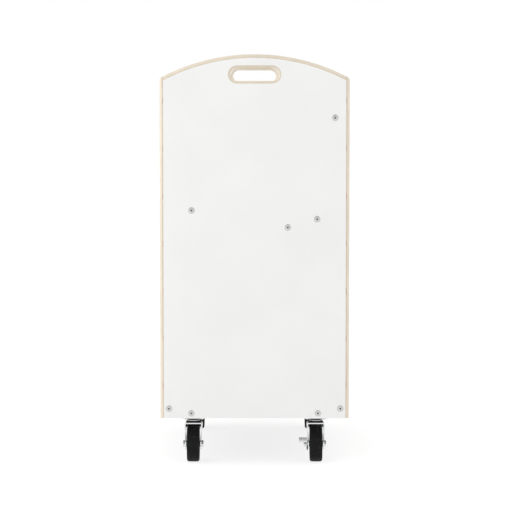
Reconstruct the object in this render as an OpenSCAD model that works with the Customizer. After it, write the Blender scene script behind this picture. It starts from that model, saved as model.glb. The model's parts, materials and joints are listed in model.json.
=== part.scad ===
// Book trolley: two arched plywood end panels joined by a base board, two lip rails and a
// tilted shelf with its back panel, standing on four swivel casters.
// Millimetres. X runs across the trolley, Y along it, Z up from the floor. The origin is on
// the floor, under the middle of the trolley, and the photographed end panel faces -Y.

/* [Trolley] */
// Length over the outer faces of the two end panels
trolley_length = 770; // [680:10:900]
// Width of an end panel
panel_width = 520; // [480:5:600]
// Height of an end panel, from its bottom edge to the top of its arch
panel_height = 1000; // [940:10:1100]
// Radius of the arched top edge
arch_radius = 550; // [500:10:700]

/* [Boards] */
// Thickness of the plywood core of the end panels, shelf, back panel and rails
core_t = 18; // [15:1:21]
// Thickness of the white laminate on each face
laminate_t = 0.8; // [0.6:0.1:1.2]
// Flat strip of bare wood between the laminate and a rounded edge
laminate_margin = 0.6; // [0.2:0.1:2]
// Thickness of the plywood core of the base board
base_core_t = 28; // [21:1:34]
// How far the base board reaches below the bottom edges of the end panels
base_drop = 1; // [0:0.5:3]

/* [Hand holes] */
// Length of the clear slot
hole_length = 131; // [110:1:150]
// Height of the clear slot
hole_height = 35; // [30:1:42]
// Middle of the slot, below the top of the arch
hole_drop = 55; // [52:1:70]
// Rounding of the slot's edges
hole_round = 6.5; // [4:0.5:7]

/* [Lip rails] */
// Height of a lip rail
rail_height = 50; // [44:1:70]
// Bottom edge of a rail, above the bottom edges of the end panels
rail_lift = 1.7; // [0:0.1:6]
// Outer face of a rail, in from the side edge of the end panel
rail_inset = 14; // [10:1:30]

/* [Tilted shelf] */
// Slope of the shelf, and lean of the back panel that stands square on it
tier_angle = 10; // [4:1:14]
// Corner where the mid-planes of shelf and back panel meet, in from the panel's side edge
tier_corner_inset = 95; // [85:1:110]
// The same corner, above the bottom edges of the end panels
tier_corner_height = 514; // [440:2:540]
// Rounded front edge of the shelf, in from the panel's other side edge
shelf_front_inset = 20; // [15:1:40]
// Height of the back panel above the shelf's core
back_height = 340; // [300:5:350]

/* [Connector bolts] */
// Diameter of the threaded shank
bolt_d = 6; // [5:1:6]
// Diameter of the flat head
bolt_head_d = 18; // [15:0.5:19]
// Thickness of the flat head
bolt_head_t = 2; // [1.5:0.1:2.5]
// Diameter of the plain neck under the head
bolt_neck_d = 8.6; // [8:0.1:9]
// Length of the plain neck
bolt_neck_length = 10; // [8:1:12]
// Hex socket, across its flats
bolt_socket = 3.5; // [3:0.5:5]
// Depth of the hex socket
bolt_socket_depth = 3.5; // [2.5:0.5:4]
// Radial clearance of the necks in the end panels and of the shanks in the boards
bolt_clearance = 0.3; // [0.1:0.1:0.5]
// Diameter of a barrel nut
barrel_d = 10; // [9:0.5:11]
// Length of a barrel nut
barrel_length = 14; // [12:1:15]
// Centre of a barrel nut, in from the end of its board
barrel_setback = 35; // [30:1:40]
// Radial clearance of a barrel nut in its drilled hole
barrel_clearance = 0.1; // [0.1:0.05:0.3]
// Bolts of the base board, in from its side edges
base_bolt_inset = 52; // [40:0.5:70]
// Front bolt of the shelf, in from the shelf's front edge
shelf_bolt_front = 68; // [50:1:90]
// Rear bolt of the shelf, out from the corner with the back panel
shelf_bolt_rear = 75; // [60:1:90]
// Lower bolt of the back panel, above the panel's bottom edge
back_bolt_low = 26.5; // [20:0.5:40]
// Upper bolt of the back panel, below the panel's top edge
back_bolt_high = 32; // [24:1:45]

/* [Casters] */
// Swivel axis, in from the outer face of the end panel
caster_end_inset = 82; // [76:1:100]
// Swivel axis, in from the side edge of the base board
caster_side_inset = 56; // [50:0.5:80]
// Distance from the swivel axis to the axle
caster_offset = 34; // [30:1:38]
// Top plate along the trolley
plate_length = 100; // [92:1:106]
// Top plate across the trolley
plate_width = 70; // [66:1:80]
// Thickness of the top plate
plate_t = 5; // [3:0.5:6]
// Corner radius of the top plate
plate_corner = 9; // [5:1:12]
// Spacing of the plate's screws along the trolley
screw_spacing_y = 76; // [74:1:80]
// Spacing of the plate's screws across the trolley
screw_spacing_x = 46; // [44:1:52]
// Diameter of a plate screw
screw_d = 6; // [5:0.5:6.5]
// Diameter of a plate screw's domed head
screw_head_d = 12; // [10:0.5:13]
// Height of a plate screw's head
screw_head_t = 3.6; // [3:0.2:5]
// Diameter of the flat on a plate screw's head
screw_flat_d = 7.2; // [6:0.2:8]
// Length of a plate screw under its head
screw_length = 25; // [16:1:26]
// Radial clearance of a screw in the plate and in the base board
screw_clearance = 0.2; // [0.1:0.1:0.5]

/* [Swivel heads] */
// Depth of the bearing cup that is pressed down out of the top plate
cup_depth = 8.5; // [8:0.5:11]
// Thickness of the cup's wall
cup_t = 3; // [2.5:0.1:3.5]
// Radius of the cup where it leaves the plate
cup_top_r = 26; // [24:1:28]
// Radius of the cup's neck
cup_neck_r = 18.5; // [18:0.5:20]
// Height of the cup's straight neck
cup_neck_h = 3.4; // [3:0.2:4]
// Thickness of the upper race
race_t = 2.6; // [2.4:0.1:3]
// Gap between the upper race and the crown's boss
race_gap = 0.6; // [0.4:0.1:0.9]
// Edge of the upper race, in from the cup's neck
race_margin = 0.7; // [0.5:0.1:1]
// Radius of the balls
ball_r = 2; // [1.8:0.1:2]
// Radius of the circle of balls
ball_circle_r = 13.5; // [13:0.5:14]
// Number of balls in a race
ball_count = 14; // [10:1:16]
// Radial clearance of a ball in its grooves
ball_clearance = 0.06; // [0.03:0.01:0.1]
// Height of the boss that is pressed up out of the crown
boss_height = 3.8; // [3:0.2:5]
// Radius of the boss at its foot
boss_foot_r = 21; // [20.5:0.5:22]
// Radius of the boss at its top
boss_top_r = 19; // [18:0.5:20]
// Radius of the king pin
pin_r = 5; // [4:0.5:6]
// Radial running clearance of the crown on the king pin
pin_clearance = 0.06; // [0.03:0.01:0.1]
// Radius of the king pin's upper head
pin_head_r = 9; // [8:0.5:10]
// Height of the king pin's upper head
pin_head_t = 3; // [2:0.5:4]
// Radius of the washer under the crown
washer_r = 14; // [12:0.5:15]
// Thickness of the washer under the crown
washer_t = 2; // [1.5:0.1:2.5]
// Height of the riveted lower end of the king pin
rivet_t = 4; // [3:0.5:5]
// Radius of the riveted end, against the washer
rivet_r = 8; // [6.5:0.5:9]

/* [Forks and wheels] */
// Diameter of a wheel
wheel_d = 100; // [95:1:110]
// Width of a tyre
tyre_w = 34.5; // [28:0.5:35.5]
// Thickness of a tyre
tyre_t = 12; // [9:1:14]
// Radius of a tyre's shoulders
tyre_shoulder = 5; // [3:0.5:6]
// Thickness of the wheel's rim, under the tyre
rim_t = 5; // [4:0.5:6]
// Edge of the wheel's rim, in from the tyre's side
rim_inset = 1; // [0.5:0.5:2]
// Thickness of the wheel's web
web_t = 10; // [8:1:12]
// Radius of the wheel's hub
hub_r = 14; // [12:0.5:17]
// Gap between the tyre and the crown above it
crown_gap = 3.5; // [2:0.5:6]
// Thickness of the fork's steel
fork_t = 3; // [2.5:0.1:3.5]
// Clear width between the fork's legs at the axle
fork_gap = 39.2; // [37:0.2:42]
// Widening of each leg from the axle up to the crown
fork_flare = 2.4; // [1:0.2:3.5]
// Outside radius of the bend between crown and leg
fork_bend = 6; // [5:0.5:8]
// Front edge of the crown, from the swivel axis
crown_front = 27; // [24:1:30]
// Back edge of the crown, from the swivel axis
crown_back = 24; // [22:1:28]
// Depth of the skirt that joins the legs behind the wheel, below the crown
skirt_depth = 14; // [10:0.5:16]
// Outside radius of the fork's two back corners, seen from above
skirt_corner = 16; // [12:1:20]
// Radius of a leg's rounded lower end
leg_end_r = 15.7; // [13:0.1:17]
// Side clearance between moving faces
side_clearance = 0.3; // [0.2:0.05:0.5]
// Diameter of the axle bolt
axle_d = 10; // [8:1:10]
// Axle bolt's hexagon, across its flats
axle_hex = 17; // [15:0.5:18]
// Height of the axle bolt's head and of its nut
axle_head_t = 6; // [5:0.5:7]
// Bolt end that stands out of the nut
axle_proud = 1.2; // [0.8:0.1:2]
// Wall of the sleeve that the wheel turns on
sleeve_wall = 1.5; // [1.2:0.1:2]
// Radial running clearance of the sleeve on the axle and of the wheel on the sleeve
sleeve_clearance = 0.06; // [0.03:0.01:0.1]

/* [Brakes] */
// Thickness of the brake lever's steel
lever_t = 2; // [1.6:0.1:3]
// Radius of the lever's eye around the axle
lever_eye_r = 15; // [14:0.5:16]
// Radius of the boss that holds the lever's eye off the fork's leg
lever_boss_r = 9.5; // [8:0.1:10]
// Width of the lever's arm
lever_arm_w = 12.4; // [10:0.2:14]
// Length of the arm, from the axle to the pedal's face
lever_reach = 41; // [38:1:50]
// Rise of the arm above the level when the brake is off
lever_rise = 25; // [15:1:28]
// Length of the pedal, out from the arm
pedal_length = 21; // [18:1:26]
// Depth of the pedal's folded flanges
pedal_flange = 8; // [6:0.5:10]
// Outer radius of the brake cam
cam_r = 18.5; // [17:0.5:19.5]
// Thickness of the brake cam, between the lever and the leg
cam_t = 2.2; // [1.5:0.1:4]

/* [Hidden] */
$fn = 96;
eps = 0.01;
overrun = 5;
sweep = 400;

round_r = core_t / 2;
board_t = core_t + 2 * laminate_t;
base_t = base_core_t + 2 * laminate_t;
clear_length = trolley_length - 2 * board_t;
half_width = panel_width / 2;

crown_bottom = wheel_d + crown_gap;
crown_top = crown_bottom + fork_t;
boss_top = crown_top + boss_height;
race_bottom = boss_top + race_gap;
cup_bottom = race_bottom + race_t;
plate_bottom = cup_bottom + cup_depth;
caster_height = plate_bottom + plate_t;
ball_z = (boss_top + race_bottom) / 2;

panel_z = caster_height + base_drop;
base_z = caster_height;
base_half = half_width - rail_inset - core_t - 2 * laminate_t;
arch_z = panel_height - arch_radius;
edge_x = half_width - round_r;
edge_z = arch_z + sqrt(pow(arch_radius - round_r, 2) - pow(edge_x, 2));

tier_x = half_width - tier_corner_inset;
tier_z = panel_z + tier_corner_height;
shelf_reach = (tier_x + half_width - shelf_front_inset) / cos(tier_angle);
back_top = core_t / 2 + laminate_t + back_height;

bolt_length = board_t + barrel_setback + barrel_d / 2;
bolt_hole_r = bolt_d / 2 + bolt_clearance;
neck_hole_r = bolt_neck_d / 2 + bolt_clearance;
rail_x = half_width - rail_inset - board_t / 2;
rail_z = panel_z + rail_lift;
base_bolt_x = base_half - base_bolt_inset;

axle_z = wheel_d / 2;
axle_r = axle_d / 2;
leg_inner = fork_gap / 2;
leg_outer = leg_inner + fork_t;
sleeve_inner_r = axle_r + sleeve_clearance;
sleeve_r = sleeve_inner_r + sleeve_wall;
rim_r = wheel_d / 2 - tyre_t;
hub_half = leg_inner - side_clearance;
brake_pack = cam_t + lever_t + 2 * side_clearance;
hex_corner = axle_hex / 2 / cos(30);

// Every bolt's place in an end panel, as X across and Z above the floor
function tier_point(along, up) = [
    tier_x + along * cos(tier_angle) + up * sin(tier_angle),
    tier_z - along * sin(tier_angle) + up * cos(tier_angle)
];
shelf_bolt_x = [-shelf_reach + shelf_bolt_front, -shelf_bolt_rear];
back_bolt_z = [core_t / 2 + laminate_t + back_bolt_low, back_top - back_bolt_high];
bolt_points = concat(
    [for (side = [-1, 1]) [side * base_bolt_x, base_z + base_t / 2]],
    [for (side = [-1, 1]) [side * rail_x, rail_z + rail_height / 2]],
    [for (x = shelf_bolt_x) tier_point(x, 0)],
    [for (z = back_bolt_z) tier_point(0, z)]
);

// Each caster: name, side across, end along, and whether it has a brake
casters = [
    ["front_left", -1, -1, false],
    ["front_right", 1, -1, true],
    ["rear_left", -1, 1, true],
    ["rear_right", 1, 1, false]
];
caster_x = base_half - caster_side_inset;
caster_y = trolley_length / 2 - caster_end_inset;

carcass_nodes = [
    "front_end_panel", "front_panel_laminates",
    "rear_end_panel", "rear_panel_laminates",
    "base_board", "base_laminates",
    "left_lip_rail", "right_lip_rail", "rail_laminates",
    "tilted_shelf", "shelf_laminates",
    "back_panel", "back_panel_laminates",
    "connector_bolts", "barrel_nuts", "plate_screws"
];
caster_pieces = [
    "top_plate", "upper_race", "race_balls", "king_pin", "fork",
    "axle_bolt", "axle_nut", "axle_sleeve", "wheel_hub", "tyre"
];
brake_pieces = ["brake_lever", "brake_cam"];

// Helpers

function arc(centre, radius, from, to, count) = [
    for (i = [0:count]) centre + radius * [
        cos(from + (to - from) * i / count),
        sin(from + (to - from) * i / count)
    ]
];
function tangent_angle(centre, point, radius, side) =
    atan2(point[1] - centre[1], point[0] - centre[0])
    + side * acos(radius / norm(point - centre));

// A profile drawn in X and Z, made long in Y about the middle
module along_y(length) {
    rotate([90, 0, 0]) linear_extrude(length, center = true) children();
}

// A profile drawn in Y and Z, made thick in X from x
module along_x(x, thickness) {
    translate([x, 0, 0]) rotate([90, 0, 90]) linear_extrude(thickness) children();
}

module bore_y(r, length) {
    rotate([90, 0, 0]) cylinder(r = r, h = length, center = true);
}

module bore_x(r, length) {
    rotate([0, 90, 0]) cylinder(r = r, h = length, center = true);
}

module hexagon_x(x, thickness) {
    translate([x, 0, 0]) rotate([0, 90, 0]) cylinder(r = hex_corner, h = thickness, $fn = 6);
}

// A slot's outline with round ends
module slot_outline(length, height) {
    square([length - height, height], center = true);
    for (side = [-1, 1]) translate([side * (length - height) / 2, 0]) circle(d = height);
}

module at_tier() {
    translate([tier_x, 0, tier_z]) rotate([0, tier_angle, 0]) children();
}

module at_front_panel() {
    translate([0, -(trolley_length - board_t) / 2, panel_z]) children();
}

module at_rear_panel() {
    mirror([0, 1, 0]) at_front_panel() children();
}

module at_caster(c) {
    translate([c[1] * caster_x, c[2] * caster_y, 0]) children();
}

module at_axle(c) {
    at_caster(c) translate([0, -caster_offset, axle_z]) children();
}

// End panels, modelled with their outer face towards -Y

// The arched top, deep enough to reach down into the straight part of the panel
module arch_rim() {
    outer = arch_radius - round_r;
    inner = edge_z - arch_z - core_t;
    from = atan2(edge_z - arch_z, edge_x);
    translate([0, 0, arch_z]) rotate([90, 0, 0]) rotate([0, 0, from])
        rotate_extrude(angle = 180 - 2 * from) {
            translate([inner, -round_r]) square([outer - inner, core_t]);
            translate([outer, 0]) circle(r = round_r);
        }
}

// The wood beside a hand hole: flat in the middle, and rounded towards both faces
module hole_lip() {
    straight = core_t / 2 - hole_round;
    translate([hole_height / 2, -straight]) square([hole_round, 2 * straight]);
    for (side = [-1, 1]) translate([hole_height / 2 + hole_round, side * straight])
        circle(r = hole_round);
}

module hand_hole_tool() {
    half = hole_height / 2 + hole_round;
    straight = hole_length - hole_height;
    deep = core_t + 2 * overrun;
    translate([0, 0, panel_height - hole_drop]) rotate([90, 0, 0]) {
        for (side = [-1, 1]) translate([side * straight / 2, 0, 0]) rotate([0, 0, -side * 90])
            rotate_extrude(angle = 180) difference() {
                translate([0, -deep / 2]) square([half, deep]);
                hole_lip();
            }
        rotate([90, 0, 90]) linear_extrude(straight, center = true) difference() {
            square([2 * half, deep], center = true);
            for (turn = [0, 180]) rotate(turn) hole_lip();
        }
    }
}

module panel_bolt_holes(r) {
    for (p = bolt_points) translate([p[0], 0, p[1] - panel_z]) bore_y(r, board_t + overrun);
}

module end_panel() {
    difference() {
        union() {
            linear_extrude(edge_z) {
                square([2 * edge_x, core_t], center = true);
                for (side = [-1, 1]) translate([side * edge_x, 0]) circle(r = round_r);
            }
            arch_rim();
            for (side = [-1, 1]) translate([side * edge_x, 0, edge_z]) sphere(r = round_r);
        }
        hand_hole_tool();
        panel_bolt_holes(neck_hole_r);
    }
}

module panel_laminate_outline() {
    inset = round_r + laminate_margin;
    rim = hole_round + laminate_margin;
    difference() {
        intersection() {
            translate([-half_width + inset, 0]) square([panel_width - 2 * inset, panel_height]);
            translate([0, arch_z]) circle(r = arch_radius - inset, $fn = 360);
        }
        translate([0, panel_height - hole_drop])
            slot_outline(hole_length + 2 * rim, hole_height + 2 * rim);
    }
}

module panel_laminates() {
    difference() {
        for (side = [-1, 1]) translate([0, side * (core_t + laminate_t) / 2, 0])
            along_y(laminate_t) panel_laminate_outline();
        panel_bolt_holes(neck_hole_r);
    }
}

module front_end_panel() { color("burlywood") at_front_panel() end_panel(); }
module rear_end_panel() { color("burlywood") at_rear_panel() end_panel(); }
module front_panel_laminates() { color("white") at_front_panel() panel_laminates(); }
module rear_panel_laminates() { color("white") at_rear_panel() panel_laminates(); }

// Boards between the end panels

module board_end_bores() {
    for (end = [-1, 1]) translate([0, end * (clear_length - bolt_length + board_t) / 2, 0])
        bore_y(bolt_hole_r, bolt_length - board_t + overrun);
}

module barrel_hole(depth) {
    for (end = [-1, 1]) translate([0, end * (clear_length / 2 - barrel_setback), -depth])
        cylinder(r = barrel_d / 2 + barrel_clearance, h = depth + barrel_length / 2);
}

module base_board() {
    color("burlywood") difference() {
        translate([-base_half, -clear_length / 2, base_z + laminate_t])
            cube([2 * base_half, clear_length, base_core_t]);
        for (side = [-1, 1]) translate([side * base_bolt_x, 0, base_z + base_t / 2]) {
            board_end_bores();
            barrel_hole(base_t);
        }
        for (c = casters) at_caster(c) plate_screw_places()
            translate([0, 0, base_z - eps]) cylinder(r = screw_d / 2 + screw_clearance, h = screw_length);
    }
}

module base_laminates() {
    color("white") difference() {
        for (z = [base_z, base_z + base_t - laminate_t])
            translate([-base_half, -clear_length / 2, z]) cube([2 * base_half, clear_length, laminate_t]);
        for (side = [-1, 1]) translate([side * base_bolt_x, 0, base_z + base_t / 2])
            barrel_hole(base_t);
        for (c = casters) at_caster(c) plate_screw_places() translate([0, 0, base_z - overrun])
            cylinder(r = screw_d / 2 + screw_clearance, h = 2 * overrun);
    }
}

// A rail's section about its middle, with a rounded top edge
module rail_section() {
    translate([-core_t / 2, -rail_height / 2]) square([core_t, rail_height - round_r]);
    translate([0, rail_height / 2 - round_r]) circle(r = round_r);
}

module lip_rail(side) {
    color("burlywood") translate([side * rail_x, 0, rail_z + rail_height / 2]) difference() {
        along_y(clear_length) rail_section();
        board_end_bores();
        barrel_hole(rail_height);
    }
}

module left_lip_rail() { lip_rail(-1); }
module right_lip_rail() { lip_rail(1); }

module rail_laminates() {
    color("white") for (side = [-1, 1]) for (face = [-1, 1])
        translate([
            side * rail_x + face * (core_t + laminate_t) / 2 - laminate_t / 2,
            -clear_length / 2,
            rail_z
        ]) cube([laminate_t, clear_length, rail_height - round_r - laminate_margin]);
}

// The shelf runs back to the outer face of the back panel, which stands on it
module tilted_shelf() {
    length = shelf_reach + core_t / 2;
    color("burlywood") at_tier() difference() {
        along_y(clear_length) {
            translate([-shelf_reach + round_r, -core_t / 2]) square([length - round_r, core_t]);
            translate([-shelf_reach + round_r, 0]) circle(r = round_r);
        }
        for (x = shelf_bolt_x) translate([x, 0, 0]) {
            board_end_bores();
            barrel_hole(core_t);
        }
    }
}

module shelf_laminates() {
    front = -shelf_reach + round_r + laminate_margin;
    color("white") at_tier() difference() {
        for (z = [-core_t / 2 - laminate_t, core_t / 2])
            translate([front, -clear_length / 2, z]) cube([core_t / 2 - front, clear_length, laminate_t]);
        for (x = shelf_bolt_x) translate([x, 0, 0]) barrel_hole(core_t);
    }
}

module back_panel() {
    foot = core_t / 2 + laminate_t;
    color("burlywood") at_tier() difference() {
        along_y(clear_length) {
            translate([-core_t / 2, foot]) square([core_t, back_height - round_r]);
            translate([0, back_top - round_r]) circle(r = round_r);
        }
        for (z = back_bolt_z) translate([0, 0, z]) {
            board_end_bores();
            rotate([0, -90, 0]) barrel_hole(core_t);
        }
    }
}

module back_panel_laminates() {
    foot = core_t / 2 + laminate_t;
    color("white") at_tier() difference() {
        for (x = [-core_t / 2 - laminate_t, core_t / 2]) translate([x, -clear_length / 2, foot])
            cube([laminate_t, clear_length, back_height - round_r - laminate_margin]);
        for (z = back_bolt_z) translate([0, 0, z]) rotate([0, -90, 0]) barrel_hole(core_t);
    }
}

// Fasteners of the carcass

// One bolt about its axis, pointing along +Y from under its head at y = 0
module connector_bolt() {
    rotate([-90, 0, 0]) difference() {
        union() {
            cylinder(d = bolt_d, h = bolt_length);
            cylinder(d = bolt_neck_d, h = bolt_neck_length);
            translate([0, 0, -bolt_head_t / 2]) cylinder(d = bolt_head_d, h = bolt_head_t / 2);
            translate([0, 0, -bolt_head_t])
                cylinder(d1 = bolt_head_d - bolt_head_t, d2 = bolt_head_d, h = bolt_head_t / 2);
        }
        translate([0, 0, -bolt_head_t - eps])
            cylinder(r = bolt_socket / 2 / cos(30), h = bolt_socket_depth, $fn = 6);
    }
}

module connector_bolts() {
    color("silver") for (end = [0, 1]) mirror([0, end, 0]) for (p = bolt_points)
        translate([p[0], -trolley_length / 2, p[1]]) connector_bolt();
}

// One pair of barrel nuts about the axis of their bolts, upright in the board's thickness
module barrel_nut_pair() {
    for (end = [-1, 1]) translate([0, end * (clear_length / 2 - barrel_setback), 0]) difference() {
        cylinder(d = barrel_d, h = barrel_length, center = true);
        bore_y(bolt_d / 2 + eps, barrel_d + overrun);
    }
}

module barrel_nuts() {
    color("silver") {
        for (side = [-1, 1]) translate([side * base_bolt_x, 0, base_z + base_t / 2])
            barrel_nut_pair();
        for (side = [-1, 1]) translate([side * rail_x, 0, rail_z + rail_height / 2])
            barrel_nut_pair();
        at_tier() for (x = shelf_bolt_x) translate([x, 0, 0]) barrel_nut_pair();
        at_tier() for (z = back_bolt_z) translate([0, 0, z]) rotate([0, 90, 0]) barrel_nut_pair();
    }
}

// Casters, about the swivel axis with the floor at z = 0

module plate_screw_places() {
    for (x = [-1, 1]) for (y = [-1, 1])
        translate([x * screw_spacing_x / 2, y * screw_spacing_y / 2, 0]) children();
}

module plate_screws() {
    color("silver") for (c = casters) at_caster(c) plate_screw_places() {
        translate([0, 0, plate_bottom]) cylinder(d = screw_d, h = screw_length);
        translate([0, 0, plate_bottom - screw_head_t / 2])
            cylinder(d = screw_head_d, h = screw_head_t / 2);
        translate([0, 0, plate_bottom - screw_head_t])
            cylinder(d1 = screw_flat_d, d2 = screw_head_d, h = screw_head_t / 2);
    }
}

module plate_outline() {
    x = plate_width / 2 - plate_corner;
    y = plate_length / 2 - plate_corner;
    polygon(concat(
        arc([x, y], plate_corner, 0, 90, 8),
        arc([-x, y], plate_corner, 90, 180, 8),
        arc([-x, -y], plate_corner, 180, 270, 8),
        arc([x, -y], plate_corner, 270, 360, 8)
    ));
}

// The section of the cup pressed out of the plate: its outside, or its inside at a wall's inset
module cup_section(inset, top) {
    polygon([
        [0, cup_bottom + inset],
        [cup_neck_r - inset, cup_bottom + inset],
        [cup_neck_r - inset, cup_bottom + cup_neck_h + inset],
        [cup_top_r - inset, plate_bottom + inset],
        [cup_top_r - inset, top],
        [0, top]
    ]);
}

module top_plate(c) {
    color("silver") at_caster(c) difference() {
        union() {
            translate([0, 0, plate_bottom]) linear_extrude(plate_t) plate_outline();
            rotate_extrude() cup_section(0, caster_height);
        }
        rotate_extrude() cup_section(cup_t, caster_height + overrun);
        cylinder(r = pin_r + pin_clearance, h = caster_height);
        plate_screw_places() translate([0, 0, plate_bottom - overrun])
            cylinder(r = screw_d / 2 + screw_clearance, h = plate_t + 2 * overrun);
    }
}

module ball_groove() {
    translate([0, 0, ball_z]) rotate_extrude()
        translate([ball_circle_r, 0]) circle(r = ball_r + ball_clearance);
}

module upper_race(c) {
    color("gainsboro") at_caster(c) difference() {
        translate([0, 0, race_bottom]) cylinder(r = cup_neck_r - race_margin, h = race_t);
        translate([0, 0, race_bottom - overrun])
            cylinder(r = pin_r + side_clearance, h = race_t + 2 * overrun);
        ball_groove();
    }
}

module race_balls(c) {
    color("dimgray") at_caster(c) for (i = [0:ball_count - 1]) rotate([0, 0, i * 360 / ball_count])
        translate([ball_circle_r, 0, ball_z]) sphere(r = ball_r);
}

module king_pin(c) {
    washer_top = boss_top - fork_t - side_clearance;
    color("silver") at_caster(c) {
        translate([0, 0, washer_top - washer_t]) cylinder(r = washer_r, h = washer_t);
        translate([0, 0, washer_top - washer_t - rivet_t])
            cylinder(r1 = pin_r, r2 = rivet_r, h = rivet_t);
        translate([0, 0, washer_top - washer_t])
            cylinder(r = pin_r, h = cup_bottom + cup_t + pin_head_t - washer_top + washer_t);
        translate([0, 0, cup_bottom + cup_t]) cylinder(r = pin_head_r, h = pin_head_t);
    }
}

// Half of the fork's section across the trolley, from the middle out, at a sheet's inset
function fork_half(inset, low) = concat(
    [[leg_outer - inset, low], [leg_outer - inset, axle_z + leg_end_r]],
    arc(
        [leg_outer + fork_flare - fork_bend, crown_top - fork_bend],
        fork_bend - inset, 0, 90, 8
    )
);

module fork_section(inset, low) {
    half = fork_half(inset, low);
    last = len(half) - 1;
    polygon(concat(half, [for (i = [last:-1:0]) [-half[i][0], half[i][1]]]));
}

// The fork seen from above: open in front, with its two back corners rounded
module fork_plan(inset) {
    half = leg_outer + fork_flare - inset;
    corner = leg_outer + fork_flare - skirt_corner;
    across = crown_back - skirt_corner;
    polygon(concat(
        [[-half, -sweep], [half, -sweep]],
        arc([corner, across], skirt_corner - inset, 0, 90, 10),
        arc([-corner, across], skirt_corner - inset, 90, 180, 10)
    ));
}

// The fork's full body, or at a sheet's inset the space inside it
module fork_body(inset, low) {
    intersection() {
        along_y(sweep) fork_section(inset, low);
        translate([0, 0, low]) linear_extrude(sweep) fork_plan(inset);
    }
}

// A leg's outline seen from the side, with the wheel's axle at [-caster_offset, axle_z]
module leg_outline() {
    axle = [-caster_offset, axle_z];
    front = [-crown_front, crown_bottom - fork_bend];
    back = [crown_back, crown_bottom - skirt_depth];
    from = tangent_angle(axle, front, leg_end_r, 1);
    to = tangent_angle(axle, back, leg_end_r, -1) + 360;
    polygon(concat(
        [back, [crown_back, crown_top + overrun], [-crown_front, crown_top + overrun], front],
        arc(axle, leg_end_r, from, to, 20)
    ));
}

module fork(c) {
    low = axle_z - leg_end_r - overrun;
    wall = leg_outer + fork_flare + overrun;
    color("silver") difference() {
        at_caster(c) union() {
            intersection() {
                difference() {
                    fork_body(0, low);
                    fork_body(fork_t, low - overrun);
                }
                along_x(-wall, 2 * wall) leg_outline();
            }
            translate([0, 0, crown_top - eps])
                cylinder(r1 = boss_foot_r, r2 = boss_top_r, h = boss_height + eps);
        }
        at_caster(c) {
            translate([0, 0, crown_bottom - overrun])
                cylinder(r = boss_top_r - fork_t, h = boss_height + overrun);
            cylinder(r = pin_r + pin_clearance, h = caster_height);
            ball_groove();
        }
        at_axle(c) bore_x(axle_r + sleeve_clearance, 2 * wall);
    }
}

// Where the axle nut's inner face sits, on the side away from the bolt's head
function nut_face(c) = leg_outer + (c[3] ? brake_pack : 0);

module axle_bolt(c) {
    end = nut_face(c) + axle_head_t + axle_proud;
    color("silver") at_axle(c) {
        translate([-end, 0, 0]) rotate([0, 90, 0]) cylinder(r = axle_r, h = end + leg_outer);
        hexagon_x(leg_outer, axle_head_t);
    }
}

module axle_nut(c) {
    color("silver") at_axle(c) difference() {
        hexagon_x(-nut_face(c) - axle_head_t, axle_head_t);
        bore_x(axle_r + eps, sweep);
    }
}

module axle_sleeve(c) {
    color("gainsboro") at_axle(c) difference() {
        bore_x(sleeve_r, fork_gap);
        bore_x(sleeve_inner_r, fork_gap + overrun);
    }
}

module wheel_hub(c) {
    rim_half = tyre_w / 2 - rim_inset;
    color([0.12, 0.12, 0.12]) at_axle(c) difference() {
        union() {
            bore_x(hub_r, 2 * hub_half);
            bore_x(rim_r - rim_t / 2, web_t);
            difference() {
                bore_x(rim_r, 2 * rim_half);
                bore_x(rim_r - rim_t, 2 * rim_half + overrun);
            }
        }
        bore_x(sleeve_r + sleeve_clearance, sweep);
    }
}

module tyre_section() {
    outer = wheel_d / 2;
    half = tyre_w / 2;
    polygon(concat(
        [[rim_r, half], [rim_r, -half]],
        arc([outer - tyre_shoulder, -half + tyre_shoulder], tyre_shoulder, -90, 0, 8),
        arc([outer - tyre_shoulder, half - tyre_shoulder], tyre_shoulder, 0, 90, 8)
    ));
}

module tyre(c) {
    color([0.09, 0.09, 0.09]) at_axle(c) rotate([0, 90, 0]) rotate_extrude() tyre_section();
}

// Brakes, on the side of the axle's nut, drawn with Y and Z about the axle

module lever_profile() {
    circle(r = lever_eye_r);
    rotate(180 - lever_rise) translate([0, -lever_arm_w / 2]) square([lever_reach, lever_arm_w]);
}

module pedal_profile() {
    rotate(180 - lever_rise) difference() {
        translate([lever_reach - pedal_flange, -lever_arm_w / 2])
            square([pedal_flange, lever_arm_w]);
        translate([lever_reach - pedal_flange - eps, -lever_arm_w / 2 + lever_t])
            square([pedal_flange - lever_t + eps, lever_arm_w - 2 * lever_t]);
    }
}

module brake_lever(c) {
    face = -leg_outer - side_clearance - cam_t;
    color("silver") at_axle(c) difference() {
        union() {
            along_x(face - lever_t, lever_t) lever_profile();
            along_x(face - eps, cam_t + eps) circle(r = lever_boss_r);
            along_x(face - lever_t - pedal_length, pedal_length + eps) pedal_profile();
        }
        bore_x(axle_r + sleeve_clearance, sweep);
    }
}

module brake_cam(c) {
    face = -leg_outer - side_clearance - cam_t;
    inner = lever_boss_r + side_clearance;
    color([0.15, 0.15, 0.15]) at_axle(c) along_x(face, cam_t)
        polygon(concat(
            arc([0, 0], inner, 200, 340, 14),
            arc([0, 0], cam_r, 330, 210, 12)
        ));
}

front_end_panel();
front_panel_laminates();
rear_end_panel();
rear_panel_laminates();
base_board();
base_laminates();
left_lip_rail();
right_lip_rail();
rail_laminates();
tilted_shelf();
shelf_laminates();
back_panel();
back_panel_laminates();
connector_bolts();
barrel_nuts();
plate_screws();
for (c = casters) {
    top_plate(c);
    upper_race(c);
    race_balls(c);
    king_pin(c);
    fork(c);
    axle_bolt(c);
    axle_nut(c);
    axle_sleeve(c);
    wheel_hub(c);
    tyre(c);
}
for (c = casters) if (c[3]) {
    brake_lever(c);
    brake_cam(c);
}
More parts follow.
